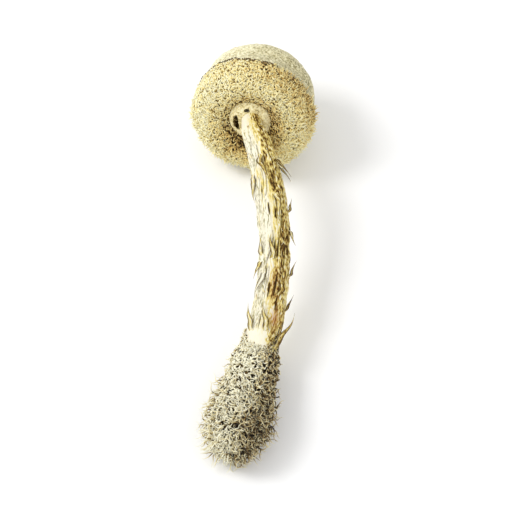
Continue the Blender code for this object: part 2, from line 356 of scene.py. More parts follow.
def add_piece(name, points, quads, triangles, material, slot, nodes, values, closed=True):
    """Adds a mesh at the origin. A closed one whose faces look inwards has them turned."""
    corners = np.concatenate([quads[:, [0, 1, 2]], quads[:, [0, 2, 3]], triangles])
    a, b, c = (points[corners[:, k]] - points.mean(axis=0) for k in range(3))
    if closed and np.einsum("ij,ij->i", a, np.cross(b, c)).sum() < 0.0:
        quads = quads[:, ::-1]
        triangles = triangles[:, ::-1]
    mesh = bpy.data.meshes.new(name)
    mesh.vertices.add(len(points))
    mesh.vertices.foreach_set("co", points.ravel())
    mesh.loops.add(quads.size + triangles.size)
    mesh.loops.foreach_set("vertex_index", np.concatenate([quads.ravel(), triangles.ravel()]))
    mesh.polygons.add(len(quads) + len(triangles))
    starts = np.concatenate([np.arange(len(quads)) * 4, quads.size + np.arange(len(triangles)) * 3])
    mesh.polygons.foreach_set("loop_start", starts)
    mesh.polygons.foreach_set("use_smooth", np.ones(len(starts), bool))
    for key, value in values.items():
        kind, field = ("FLOAT", "value") if value.ndim == 1 else ("FLOAT_VECTOR", "vector")
        mesh.attributes.new(key, kind, "POINT").data.foreach_set(field, value.ravel())
    mesh.update(calc_edges=True)
    if mesh.validate():
        raise RuntimeError(f"the mesh of {name} had faulty faces")
    mesh.materials.append(material)
    piece = bpy.data.objects.new(name, mesh)
    bpy.context.scene.collection.objects.link(piece)
    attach(piece, BODY)
    if nodes:
        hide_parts(*nodes)
    return piece


# ---------------- threads


def curling_paths(rng, root, outward, along, across, length, lift, curl, stations, droop):
    """Paths that leave a surface at the angle lift and curl as they run over it.

    Seen from above, the heading turns steadily by up to `curl` radians to either side over the length, plus a
    sine of 0.5 radians. The lift falls by the share `droop`, plus a sine of a fifth of `curl` that first
    rises. The steps are equal and are added up from the root.
    """
    share = np.linspace(0.0, 1.0, stations)[None, :]
    count = len(root)
    bend = curl * rng.choice([-1.0, 1.0], count) * rng.uniform(0.35, 1.0, count)
    phase = rng.uniform(0.0, TURN, (count, 1))
    turn = (bend[:, None] * (share - 0.3) + 0.5 * np.sin(TURN * share + phase))[..., None]
    wave = 0.2 * curl * np.sin(1.1 * TURN * share + rng.uniform(-0.5, 0.9, (count, 1)))
    rise = (lift[:, None] * (1.0 - droop * share) + wave)[..., None]
    level = np.cos(turn) * along[:, None] + np.sin(turn) * across[:, None]
    step = (np.cos(rise) * level + np.sin(rise) * outward[:, None]) * (length / (stations - 1))[:, None, None]
    step[:, 0] = 0.0
    return root[:, None] + np.cumsum(step, axis=1)


def local_frame(surface, first, second, toward):
    """Place on a surface, the way out, the way that `second` grows turned by the angle toward, and across."""
    root = surface(first, second, 0.0)
    outward = unit(surface(first, second, 1 * MM) - root)
    grow = surface(first, second + 0.01, 0.0) - root
    along = unit(grow - (grow * outward).sum(axis=-1, keepdims=True) * outward)
    across = np.cross(outward, along)
    turned = np.cos(toward)[:, None] * along + np.sin(toward)[:, None] * across
    return root, outward, turned, np.cross(outward, turned)


def add_threads(
    name, place, length, width, lift, curl, shade, rng, material, slot,
    sides=3, stations=6, sink=0.4, droop=0.55, blunt=1.8, bright=1.0,
):
    """Threads from places on a surface: curling paths, rooted `sink` mm deep, that taper to a point.

    The width falls as one less the share of the length to the power `blunt`, that to the power 0.7, times a
    swelling of a half sine. `tip` is how near a point is to the tip, and a little how far it looks up: the
    colour darkens towards the roots and on each thread's lower side, as painted shade between and under the
    threads.
    """
    root, outward, along, across = place
    root = root - outward * sink * MM
    paths = curling_paths(rng, root, outward, along, across, length, lift, curl, stations, droop)
    paths = above_floor(paths, WOOL_CLEARANCE)
    share = np.linspace(0.0, 1.0, stations)
    taper = (1.0 - share ** blunt) ** 0.7 * (0.88 + 0.3 * np.sin(math.pi * share))
    points, quads, triangles = tapered_tubes(paths, width[:, None] * taper[None], across, sides)
    points = np.maximum(points, [-1.0, -1.0, LOWEST_POINT])
    turn = np.linspace(0.0, TURN, sides, endpoint=False)
    # paler on each thread's upper side and darker on its lower side: painted light and shade
    upward = np.append(np.tile(np.sin(turn), stations - 1), 0.0)
    tip = np.append(np.repeat(share[:-1], sides), 1.0) * bright + 0.2 * upward
    tint = rng.uniform(0.0, 1.0, len(root))
    values = {
        "tip": np.tile(tip, len(root)),
        "tint": np.repeat(tint, len(tip)),
        "shade": np.repeat(shade, len(tip)),
    }
    add_piece(name, points, quads, triangles, material, slot, (), values)


# ---------------- materials


def linear(hex_colour):
    """Linear red, green and blue of an sRGB hex colour."""
    shares = [int(hex_colour[k:k + 2], 16) / 255.0 for k in (1, 3, 5)]
    return tuple(s / 12.92 if s <= 0.04045 else ((s + 0.055) / 1.055) ** 2.4 for s in shares)


def add_node(tree, kind, sockets=None, stops=None, **settings):
    """Adds a node with its settings. Sockets take a value or another node's output; stops fill a ramp."""
    node = tree.nodes.new("ShaderNode" + kind)
    for key, value in settings.items():
        setattr(node, key, value)
    for key, value in (sockets or {}).items():
        if isinstance(value, bpy.types.NodeSocket):
            tree.links.new(value, node.inputs[key])
        else:
            node.inputs[key].default_value = value
    if stops:
        ramp = node.color_ramp.elements
        while len(ramp) < len(stops):
            ramp.new(0.5)
        for element, (position, colour) in zip(ramp, stops):
            element.position = position
            element.color = (*colour, 1.0)
    return node


def new_tree(name):
    """A material of that name and its emptied node tree."""
    material = bpy.data.materials.new(name)
    material.use_nodes = True
    material.node_tree.nodes.clear()
    return material, material.node_tree


def weighted_sum(tree, terms, offset):
    """One value from pairs of output and weight, added to an offset and kept between 0 and 1."""
    total = offset
    for output, weight in terms:
        step = add_node(tree, "Math", {0: output, 1: weight, 2: total}, operation="MULTIPLY_ADD")
        total = step.outputs[0]
    step.use_clamp = True
    return total


def product(tree, first, second):
    """Two values multiplied."""
    return add_node(tree, "Math", {0: first, 1: second}, operation="MULTIPLY").outputs[0]


def mixed(tree, share, first, second):
    """A colour that goes from the first to the second with the share."""
    return add_node(tree, "Mix", {"Factor": share, 6: first, 7: second}, data_type="RGBA").outputs[2]


def attribute(tree, name, output="Fac"):
    """A value that the mesh carries."""
    return add_node(tree, "Attribute", attribute_name=name).outputs[output]


def noise(tree, place, scale, detail):
    """Noise at a place, with `scale` patches to the unit."""
    return add_node(tree, "TexNoise", {"Vector": place, "Scale": scale, "Detail": detail}).outputs["Fac"]


def object_noise(tree, size):
    """Noise on the object's own coordinates, with patches about `size` metres across."""
    return noise(tree, add_node(tree, "TexCoord").outputs["Object"], 1.0 / size, 2.0)


def coloured(tree, factor, *stops):
    """A colour picked from a ramp of positions and colours."""
    return add_node(tree, "ValToRGB", {"Fac": factor}, stops=stops).outputs[0]


def output_surface(tree, sockets):
    """A Principled shader with these sockets, sent to the surface."""
    shader = add_node(tree, "BsdfPrincipled", sockets)
    add_node(tree, "OutputMaterial", {"Surface": shader.outputs[0]})


def skin_material(name, pale, shade, dark):
    """Fungus skin, a thin dry hide: soft sheen, cloudy patches 5 mm across and a stipple of 1 mm."""
    material, tree = new_tree(name)
    stipple = object_noise(tree, 0.95 * MM)
    cloud = object_noise(tree, 5 * MM)
    factor = weighted_sum(tree, [(attribute(tree, "shade"), 0.5), (cloud, 0.7), (stipple, 2.3)], -1.35)
    bump = add_node(tree, "Bump", {"Height": stipple, "Strength": 0.55, "Distance": 0.35 * MM})
    output_surface(tree, {
        "Base Color": coloured(tree, factor, (0.0, pale), (0.55, shade), (1.0, dark)),
        "Roughness": 0.6, "IOR": 1.4, "Normal": bump.outputs[0],
        "Subsurface Weight": 0.12, "Subsurface Radius": (1.0, 0.8, 0.5), "Subsurface Scale": 1.5 * MM,
    })
    return material


def wool_material(name, gap, low, pale, tip, depth, offset):
    """Fungus wool, matted dry threads: no gloss, own tints. depth is how much paler a thread's tip is; the
    darker roots and the gap colour are painted shade between the threads.
    """
    made = bpy.data.materials.get(name)
    if made:
        return made
    material, tree = new_tree(name)
    terms = [
        (attribute(tree, "tip"), depth), (attribute(tree, "tint"), 0.34), (object_noise(tree, 5 * MM), 0.36),
        (attribute(tree, "shade"), -0.42),
    ]
    factor = weighted_sum(tree, terms, offset)
    # gap and low colours: painted shade deep between the threads and near their roots
    colour = coloured(tree, factor, (0.0, gap), (0.28, low), (0.62, pale), (1.0, tip))
    output_surface(tree, {"Base Color": colour, "Roughness": 0.9, "Sheen Weight": 0.15, "IOR": 1.35})
    return material


def fibre_material(name, pale, ochre, brown, slit, rust, grey):
    """Stalk fibre, split dry strands: lines 0.4 mm and bands 1.3 mm wide, browner in bruises and in painted
    shade on the side away from the light, dark in slits.

    It is mixed in turn with grey specks, rust spots and the dark of the slits and shaded edges, which is
    painted shade.
    """
    made = bpy.data.materials.get(name)
    if made:
        return made
    material, tree = new_tree(name)
    grain = attribute(tree, "grain", "Vector")
    dash = attribute(tree, "dash", "Vector")
    shade = attribute(tree, "shade")
    fibre = attribute(tree, "fibre")
    streak = noise(tree, grain, 2.4, 3.0)
    band = noise(tree, grain, 0.75, 1.0)
    stipple = noise(tree, dash, 1.5, 1.0)
    # stipple that grows with the shade attribute, so bruises and painted shade are dotted
    bruise_and_shade = product(tree, stipple, shade)
    worn = product(tree, streak, noise(tree, dash, 0.28, 1.0))
    terms = [
        (shade, -0.28), (bruise_and_shade, 1.65), (worn, 1.5), (streak, 0.5), (band, 0.9), (stipple, 0.5), (fibre, 0.2),
    ]
    tone = weighted_sum(tree, terms, -1.42)
    colour = coloured(tree, tone, (0.0, pale), (0.4, ochre), (0.85, brown), (1.0, slit))
    speck = weighted_sum(tree, [(stipple, 3.4), (streak, 2.0), (fibre, 1.5), (shade, -2.2)], -4.2)
    colour = mixed(tree, speck, colour, (*grey, 1.0))
    colour = mixed(tree, attribute(tree, "rust"), colour, (*rust, 1.0))
    # dark of the slits, plate sides and scale edges: painted shade
    colour = mixed(tree, attribute(tree, "hollow_shade"), colour, (*slit, 1.0))
    bump = add_node(tree, "Bump", {"Height": streak, "Strength": 0.5, "Distance": 0.3 * MM})
    output_surface(tree, {
        "Base Color": colour, "Roughness": 0.75, "IOR": 1.3, "Normal": bump.outputs[0],
        "Subsurface Weight": 0.06, "Subsurface Radius": (1.0, 0.75, 0.45), "Subsurface Scale": 1.0 * MM,
    })
    return material


# ---------------- settings


def colour_setting(name, description, hex_colour):
    """A colour that a user may change."""
    return FloatVectorProperty(
        name=name, description=description, default=linear(hex_colour),
        subtype="COLOR", size=3, min=0.0, max=1.0,
    )


def length_setting(name, description, default):
    """A length that a user may change."""
    return FloatProperty(
        name=name, description=description, default=default, min=0.0, unit="LENGTH", precision=5,
    )


def power_setting(name, description, default):
    """A lamp's power that a user may change."""
    return FloatProperty(name=name, description=description, default=default, unit="POWER")


def count_setting(name, description, default, least=10):
    """A number of things that a user may change."""
    return IntProperty(name=name, description=description, default=default, min=least)


class HeadSettings(bpy.types.PropertyGroup):
    """Sizes and colours of the skin, wool and collar."""

    skin_pale: colour_setting("Skin, pale", "Lightest colour of the cap's skin", "#F7F1CE")
    skin_shade: colour_setting("Skin, shade", "Middle colour of the cap's skin", "#CFC69A")
    skin_dark: colour_setting("Skin, dark", "Darkest specks of the cap's skin", "#837A4E")
    # gap and low: darker colours for painted shade between the threads, near their roots and in the wool's
    # shaded parts
    wool_gap_shade: colour_setting("Wool, gaps", "Colour deep between the threads", "#584014")
    wool_low: colour_setting("Wool, low", "Colour near the roots", "#D2AE5F")
    wool_pale: colour_setting("Wool, pale", "Colour of most threads", "#FFEFA8")
    wool_tip: colour_setting("Wool, tips", "Colour of the lightest tips", "#FFFAD4")
    collar_pale: colour_setting("Collar, pale", "Lightest colour of the collar", "#FBF1C6")
    collar_shade: colour_setting("Collar, shade", "Middle colour of the collar", "#DCCB92")
    collar_dark: colour_setting("Collar, dark", "Darkest colour of the collar", "#6A5526")
    thread_count: count_setting("Threads", "Number of wool threads", 6600, 100)
    thread_length: length_setting("Thread length", "Mean length of a wool thread", 3.1 * MM)
    thread_width: length_setting("Thread width", "Width of a wool thread at its root", 0.7 * MM)
    bristle_count: count_setting("Bristles", "Number of long bristles", 1150)
    bristle_length: length_setting("Bristle length", "Mean length of a bristle", 3.9 * MM)


class StemSettings(bpy.types.PropertyGroup):
    """Sizes and colours of the stem and its loose scales."""

    pale: colour_setting("Pale", "Lightest colour of the stem", "#F1ECD6")
    ochre: colour_setting("Ochre", "Middle colour of the stem", "#E8D57E")
    # brown: bruised fibre and painted shade on the stem's side away from the light
    brown: colour_setting("Brown", "Colour of bruised fibre", "#8E6828")
    rust: colour_setting("Rust", "Colour of the reddish spots", "#A5582A")
    # slit: painted shade inside the slits and beside the plates and scale edges
    slit: colour_setting("Slits", "Colour inside the slits", "#48320C")
    speck: colour_setting("Specks", "Colour of the fine specks on the pale side", "#A09970")
    plate_count: count_setting("Plates", "Number of pressed-down plates", 64, 0)
    plate_height: length_setting("Plate height", "How far a plate's tip stands up", 0.62 * MM)
    slit_depth: length_setting("Slit depth", "Depth of a slit at its middle", 0.5 * MM)
    fibre_count: count_setting("Loose fibres", "Number of thin loose fibres", 95, 1)


class FootSettings(bpy.types.PropertyGroup):
    """Sizes and colours of the woolly foot."""

    # gap and low: darker colours for painted shade between the tufts and near their roots
    gap: colour_setting("Gaps", "Colour deep between the tufts", "#33260C")
    low: colour_setting("Low", "Colour near the roots", "#92733B")
    pale: colour_setting("Pale", "Colour of most tufts", "#F0E2AC")
    tip: colour_setting("Tips", "Colour of the lightest tips", "#FFFCE4")
    tuft_count: count_setting("Tufts", "Number of curly tufts", 2150)
    tuft_length: length_setting("Tuft length", "Mean length of a tuft", 4.4 * MM)
    tuft_width: length_setting("Tuft width", "Width of a tuft at its root", 0.72 * MM)
    thread_count: count_setting("Threads", "Number of finer threads", 1100)
    bristle_count: count_setting("Bristles", "Number of splayed bristles", 820)
    creeping_count: count_setting("Creeping tufts", "Number of tufts on the stem", 640)


class StageSettings(bpy.types.PropertyGroup):
    """Floor, light and camera."""

    floor: colour_setting("Floor", "Colour of the floor", "#FCFCFC")
    key_power: power_setting("Key light", "Power of the main soft light", 6.6)
    fill_power: power_setting("Fill light", "Power of the second soft light", 1.2)
    sky_strength: FloatProperty(name="Sky", description="Strength of the even light", default=0.8, min=0.0)
    elevation: FloatProperty(
        name="Elevation", description="How far the camera looks down", default=60 * DEG, subtype="ANGLE",
    )
    lens: FloatProperty(name="Lens", description="Focal length", default=700.0, unit="CAMERA")
    field: length_setting("Field", "Width that the camera takes in at the object", 0.224)


# ---------------- cap skin

SKIN_ROWS = 150
SKIN_COLUMNS = 300
# height on the head's axis about which the cap's outline is read
CAP_LEVEL = 10 * MM
RIM_SIDE = 42 * DEG


def cap_profile(rows):
    """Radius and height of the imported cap's outline, from crown to underside, at equal steps of length."""
    angle, distance = HEAD.outline("cap", 0.0, CAP_LEVEL)
    order = np.argsort(-angle)
    radius = np.append((distance * np.cos(angle))[order], 0.0)
    height = (distance * np.sin(angle) + CAP_LEVEL)[order]
    height = np.append(height, height[-1])
    radius[0] = 0.0
    length = lengths_along(np.stack([radius, height], axis=-1))
    steps = np.linspace(0.0, length[-1], rows + 2)[1:-1]
    return np.interp(steps, length, radius), np.interp(steps, length, height), height[0], height[-1]


def rim_hang(angle):
    """How far the skin's rim hangs over the wool, from 0 to 1: most on its right and upper side."""
    return ease(np.cos(angle - RIM_SIDE), 0.1, 0.85)


def rim_section(angle):
    """Angle round the roll's section at which the skin's rim ends."""
    return 39 * DEG - 19 * DEG * rim_hang(angle)


def build_cap_skin(settings):
    """Cap skin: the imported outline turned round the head's axis.

    Height off the outline is broad swells of 0.4 mm, dents of 0.15 mm and, towards the rim, fine pleats that
    run down from the crown. The rim hangs over the wool on its right and upper side, and its edge is uneven.
    """
    radius, height, top, bottom = cap_profile(SKIN_ROWS)
    share, angle = full_turn(np.linspace(0.0, 1.0, SKIN_ROWS), SKIN_COLUMNS)
    around = angle / TURN
    radius = radius[:, None]
    height = height[:, None]
    outer = ease(radius, 12 * MM, 22 * MM) * ease(height, 2 * MM, 5 * MM)
    swell = 0.42 * MM * soft_noise(11, around, share, 7, 6)
    swell = swell + 0.16 * MM * soft_noise(12, around, share, 26, 22)
    pleat = 0.14 * MM * soft_noise(13, around, share, 120, 7) * outer
    lift = (swell * ease(radius, 1 * MM, 8 * MM) + pleat) * ease(height, 2.8 * MM, 6 * MM)
    hang = rim_hang(angle)
    ragged = 0.55 * ring_noise(14, angle, 46) + 0.35 * ring_noise(15, angle, 110)
    low = ease(-height, -9 * MM, -3.2 * MM) * ease(radius, 17 * MM, 23 * MM)
    drop = low * (0.5 + 2.6 * hang + ragged * (0.5 + 0.7 * hang)) * MM
    flare = low * (0.3 + 2.5 * hang) * MM
    rings = above_floor(HEAD.place(angle, radius + lift + flare, height - drop + 0.5 * lift))
    ends = [HEAD.centre + HEAD.crown * level for level in (top, bottom)]
    # Skin colour: darker towards the right side, mostly painted shade away from the light, over the skin's own
    # mottling; patchy darker near the hanging rim; and fixed dark where the skin lies below 3.4 mm on the
    # head's axis, painted shade under the cap.
    shade = 0.5 + 0.5 * np.cos(angle - 8 * DEG) + 0.28 * soft_noise(16, around, share, 9, 7)
    shade = shade * 0.9 + 0.5 * low * ease(soft_noise(17, around, share, 90, 30), 0.1, 0.8)
    shade = np.where(height < 3.4 * MM, 1.3, shade)
    material = skin_material("dry_fungus_skin", settings.skin_pale, settings.skin_shade, settings.skin_dark)
    band = closed_band(rings, *ends)
    add_piece("cap_skin", *band, material, "cap_skin", ["cap"], {"shade": on_band(shade)})


# ---------------- woolly roll

ROLL_RING = 17.5 * MM
ROLL_LEVEL = -3.5 * MM
ROLL_SECTION = HEAD.outline("wool_roll", ROLL_RING, ROLL_LEVEL)
ROLL_CORE_ROWS = 110
ROLL_CORE_COLUMNS = 270
BORE_SECTION = 172 * DEG
BORE_SWELL = 4.2 * MM
# number of dashes in each row of painted shadow under the skin's rim
RIM_SHADOW_DASHES = 104


def roll_surface(angle, section, rise):
    """Woolly roll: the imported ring's section carried round the head, with lumps 5 mm across and 0.5 mm high.

    On the bore's side it swells, so wool lies behind the collar's holes.
    angle runs round the head and section round the ring, 0 outwards and a quarter turn towards the cap.
    """
    distance = np.interp(section, *ROLL_SECTION, period=TURN)
    around = angle / TURN
    along = (section + math.pi) / TURN
    lump = 0.45 * MM * soft_noise(21, around, along, 26, 11)
    lump = lump + 0.3 * MM * soft_noise(22, around, along, 60, 24)
    bore = bell(angle_gap(section, BORE_SECTION), 0.5)
    reach = distance + lump * (1.0 - 0.9 * bore) + rise + BORE_SWELL * bore
    return HEAD.place(angle, ROLL_RING + reach * np.cos(section), ROLL_LEVEL + reach * np.sin(section))


def roll_shade(angle, section):
    """Painted shade on the wool: in the crease by the collar, under the skin's rim on the upper right and on
    the lower side, and lightened on the left, where the light falls.
    """
    crease = ease(-section, 78 * DEG, 138 * DEG) * (0.8 - 0.35 * np.sin(angle - 60 * DEG))
    upper = ease(np.cos(angle - 38 * DEG), 0.35, 1.0) * ease(section, -75 * DEG, 10 * DEG)
    lower = 0.6 * ease(-np.sin(angle), 0.1, 1.0) * ease(-section, 30 * DEG, 100 * DEG)
    flank = 0.4 * ease(np.cos(angle - 170 * DEG), 0.4, 1.0) * ease(section, -100 * DEG, -45 * DEG)
    return crease * 0.95 + upper * 0.85 + lower - flank


def build_wool_core(material):
    """Ring under the threads: the roll's surface sunk by 0.75 mm, closed on itself, in the gaps' dark colour,
    painted shade between the threads.
    """
    sections = np.linspace(-math.pi, math.pi, ROLL_CORE_ROWS, endpoint=False)
    section, angle = full_turn(sections, ROLL_CORE_COLUMNS)
    points = above_floor(roll_surface(angle, section, -0.75 * MM)).reshape(-1, 3)
    outside = ease(np.abs(angle_gap(section, BORE_SECTION)), 0.5, 0.9)
    tint = 0.5 + 0.35 * outside * soft_noise(23, angle / TURN, (section + math.pi) / TURN, 80, 34)
    shade = roll_shade(angle, section) + 0.3
    values = {"tip": np.full(len(points), 0.15), "tint": tint.ravel(), "shade": shade.ravel()}
    quads = grid_faces(ROLL_CORE_ROWS, ROLL_CORE_COLUMNS, closed=True)
    add_piece("wool_core", points, quads, NO_TRIANGLES, material, "ochre_wool", ["wool_roll"], values)


def roll_roots(rng, count, low, high):
    """Places on the roll between two section angles, evenly dense, clear of the floor and the skin's rim.

    They follow a two-way sequence of golden-like steps and stray by 0.3 mm.
    """
    turns = np.arange(count * 2)
    steps = np.linspace(low, high, 400)
    area = np.cumsum(ROLL_RING + 9 * MM * np.cos(steps))
    section = np.interp(area[-1] * (0.5698403 * turns % 1.0), area, steps) + rng.normal(0.0, 0.033, count * 2)
    angle = (TURN * 0.7548777 * turns + rng.normal(0.0, 0.015, count * 2)) % TURN
    clear = (roll_surface(angle, section, 0.0)[:, 2] > 0.6 * MM) & (section < rim_section(angle) - 3 * DEG)
    return angle[clear][:count], section[clear][:count]


def build_wool_threads(rng, grow, settings):
    """Wool: short threads that head and curl every way over the roll, in two pieces by their side."""
    angle, section = roll_roots(rng, settings.thread_count, -166 * DEG, 38 * DEG)
    count = len(angle)
    smooth = ease(np.cos(angle - 128 * DEG), 0.35, 0.95) * ease(section, -80 * DEG, -5 * DEG)
    length = settings.thread_length * rng.uniform(0.65, 1.35, count) * (1.0 - 0.3 * smooth)
    length = length * (0.45 + 0.55 * ease(section, -158 * DEG, -120 * DEG))
    width = settings.thread_width * rng.uniform(0.75, 1.3, count)
    lift = rng.uniform(24, 66, count) * DEG * (1.0 - 0.45 * smooth)
    toward = rng.normal(0.0, 85.0, count) * DEG
    shade = roll_shade(angle, section)
    upper = np.sin(angle) >= 0.0
    for name, part in (("wool_threads_upper", upper), ("wool_threads_lower", ~upper)):
        place = local_frame(roll_surface, angle[part], section[part], toward[part])
        grow(name, place, length[part], width[part], lift[part], 2.6, shade[part], stations=7)


def build_wool_bristles(rng, grow, settings):
    """Bristles that stand up from the roll's outer edge, except on its smooth upper left."""
    angle, section = roll_roots(rng, settings.bristle_count, -42 * DEG, 22 * DEG)
    smooth = ease(np.cos(angle - 122 * DEG), 0.3, 0.8)
    keep = rng.uniform(0.0, 1.0, len(angle)) > 0.85 * smooth
    angle, section = angle[keep], section[keep]
    count = len(angle)
    length = settings.bristle_length * rng.uniform(0.6, 1.3, count) * (1.0 - 0.4 * smooth[keep])
    width = settings.thread_width * rng.uniform(0.6, 0.95, count)
    lift = rng.uniform(40, 80, count) * DEG
    place = local_frame(roll_surface, angle, section, rng.normal(0.0, 25.0, count) * DEG)
    grow("wool_bristles", place, length, width, lift, 1.6, roll_shade(angle, section) + 0.15, droop=0.3)


def build_rim_shadow_dashes(rng, grow):
    """Two rows of short dark dashes just under the skin's rim, the second lighter and further down: painted
    shadow under the rim's edge.
    """
    count = 2 * RIM_SHADOW_DASHES
    angle = np.tile(np.linspace(-25 * DEG, 205 * DEG, RIM_SHADOW_DASHES), 2) + rng.normal(0.0, 0.008, count)
    late = np.repeat([0.0, 1.0], RIM_SHADOW_DASHES)
    section = rim_section(angle) - (rng.uniform(2.5, 5.5, count) + 4.0 * late) * DEG
    toward = rng.normal(52.0, 14.0, count) * DEG
    root, outward, along, across = local_frame(roll_surface, angle, section, toward)
    place = (root + outward * (0.55 * MM), outward, along, across)
    length = 1.7 * MM * rng.uniform(0.7, 1.2, count) * (1.0 - 0.3 * late)
    width = np.full(count, 0.62 * MM)
    grow("rim_specks", place, length, width, np.full(count, 0.25), 0.5, 2.3 - 0.7 * late, sink=0.0)


# ---------------- collar

COLLAR_ROWS = 46
COLLAR_COLUMNS = 300
COLLAR_THICKNESS = 0.45 * MM
COLLAR_TEETH = 34
# angle, distance from the axis, half the size along the ring and half the size across it
COLLAR_HOLES = ((188 * DEG, 6.2 * MM, 3.9 * MM, 1.25 * MM), (100 * DEG, 5.95 * MM, 1.35 * MM, 1.0 * MM))


def hole_levels(angle, radius):
    """How far places on the collar lie from each hole's middle: 1 on the edge of its ellipse."""
    return [
        np.hypot(angle_gap(angle, middle) * reach / half_around, (radius - reach) / half_out)
        for middle, reach, half_around, half_out in COLLAR_HOLES
    ]


def build_collar(material):
    """Collar: a thin domed ring round the stem's top, with two real holes.

    Height is a low arch from the stem to the outer edge, a fine raised line near the outer edge and folds
    that run outwards. Faces wholly inside a hole's ellipse go, the points inside it that are left move out
    onto it, and Solidify gives the thickness. The inner edge lies within the stem.
    """
    share, angle = full_turn(np.linspace(0.0, 1.0, COLLAR_ROWS), COLLAR_COLUMNS)
    around = angle / TURN
    ragged = 0.4 * ring_noise(46, angle, 19) + 0.2 * ring_noise(47, angle, 60)
    radius = (3.4 + share * (6.35 + ragged)) * MM
    inside = np.zeros(radius.shape, bool)
    for (middle, reach, _, _), level in zip(COLLAR_HOLES, hole_levels(angle, radius)):
        within = level < 1.0
        inside |= within
        pull = np.where(within, 1.0 / np.maximum(level, 0.05), 1.0)
        angle = np.where(within, middle + angle_gap(angle, middle) * pull, angle)
        radius = np.where(within, reach + (radius - reach) * pull, radius)
    out = np.clip((radius / MM - 4.6) / 5.2, 0.0, 1.0)
    fold = 0.2 * soft_noise(43, around, out, 34, 3) + 0.1 * soft_noise(44, around, out, 90, 5)
    line = 0.34 * bell(out - 0.87, 0.055)
    height = -8.05 - 0.85 * np.sin(math.pi * out) - 1.1 * (1.0 - out) ** 3 + 1.9 * out ** 5 - line + fold
    # Collar colour: darker where the folds sink in, in the crease at the outer edge and round each hole, all
    # painted shade; paler along the raised line, a painted highlight; darker at the inner edge by the stem.
    shade = 0.35 + 0.3 * fold + 0.6 * ease(out, 0.93, 1.0) + 0.5 * (1.0 - ease(out, 0.0, 0.22)) - 0.7 * line
    for level in hole_levels(angle, radius):
        shade = shade + 0.8 * (1.0 - ease(level, 1.0, 1.25))
    quads = grid_faces(COLLAR_ROWS, COLLAR_COLUMNS)
    quads = quads[~inside.ravel()[quads].all(axis=1)]
    used, quads = np.unique(quads, return_inverse=True)
    quads = quads.reshape(-1, 4)
    points = HEAD.place(angle, radius, height * MM).reshape(-1, 3)[used]
    a, b, c = points[quads[0][:3]]
    if np.cross(b - a, c - a) @ HEAD.crown > 0.0:
        quads = quads[:, ::-1]
    values = {"shade": shade.ravel()[used]}
    sheet = (points, quads, NO_TRIANGLES)
    piece = add_piece("collar_skin", *sheet, material, "collar_skin", ["collar"], values, closed=False)
    wall = piece.modifiers.new("thickness", "SOLIDIFY")
    wall.thickness = COLLAR_THICKNESS
    wall.offset = -1.0


def build_collar_teeth(material):
    """Torn teeth at the collar's inner edge: thin brown points that lie along the stem, clear of holes."""
    rng = np.random.default_rng(45)
    angle = rng.uniform(0.0, TURN, COLLAR_TEETH)
    radius = (4.9 + rng.uniform(0.0, 1.5, COLLAR_TEETH)) * MM
    solid = np.min(hole_levels(angle, radius), axis=0) > 1.25
    level = -8.6 * MM
    root = HEAD.place(angle[solid], radius[solid], level)
    count = len(root)
    outward = unit(root - (HEAD.centre + HEAD.crown * level))
    along = np.broadcast_to(-HEAD.crown, outward.shape)
    shade = rng.uniform(0.2, 1.1, count)
    length = rng.uniform(1.0, 2.6, count) * MM
    width = rng.uniform(0.3, 0.55, count) * MM
    lift = rng.uniform(5, 55, count) * DEG
    place = (root, outward, along, np.cross(outward, along))
    add_threads("collar_teeth", place, length, width, lift, 0.8, shade, rng, material, "ochre_wool")


# ---------------- stem

STEM_ROWS = 290
STEM_COLUMNS = 304
STEM_START = STEM.distance[0]
STEM_SPAN = STEM.distance[-1] - STEM_START
# side where the stem is bruised and darkest with painted shade, away from the light
BRUISED_AND_SHADED_SIDE = 22 * DEG
# distance from the collar, angle from the right side over the top, length and width, in mm and degrees
KEPT_SLITS = (
    (66.5, 93, 9.5, 0.95), (66, 79, 9, 0.9), (82.5, 72, 12.5, 1.15), (84.7, 96, 7.5, 1.35),
    (82.5, 49, 9, 0.9), (48, 107, 6.5, 0.8), (50.5, 86, 5, 0.7), (54, 62, 12, 0.7),
    (70, 46, 10, 0.8), (91, 60, 7, 0.8), (36, 78, 10, 0.6), (24, 66, 9, 0.6),
    (99, 112, 7, 0.7), (40, 128, 9, 0.5), (76, 116, 7, 0.5),
)
# least and most of the same four values for the scattered slits
SLIT_RANGES = ((8, 100), (165, 375), (7, 17), (0.6, 1.1))
SCATTERED_SLITS = 34
# least and most of a plate's distance from the collar, angle in radians, length and width in millimetres,
# share of the full height, and way: a way under 0.3 points to the head, the rest to the foot
PLATE_RANGES = ((5, 92), (0, TURN), (11, 21), (2.6, 4.8), (0.55, 1.0), (0, 1))


def brown_and_painted_shade(angle, distance):
    """How brown the stem is, bruise and painted shade together: brown on its right, away from the light, and
    just under the collar; pale on its left, a painted highlight where the light falls, and at its foot.
    """
    bruise_and_shade = np.cos(angle - BRUISED_AND_SHADED_SIDE)
    brown = 0.95 * ease(bruise_and_shade, 0.05, 0.95)
    brown = brown - 0.38 * ease(np.cos(angle - 150 * DEG), 0.1, 0.9)
    brown = brown + 0.24 * ease(np.cos(angle - 80 * DEG), 0.6, 1.0)
    bulge = 0.5 * ease(distance, 94 * MM, 107 * MM) * (1.0 - 0.9 * ease(bruise_and_shade, 0.55, 0.9))
    return brown + 0.3 * (1.0 - ease(distance, 0.0, 8 * MM)) - bulge


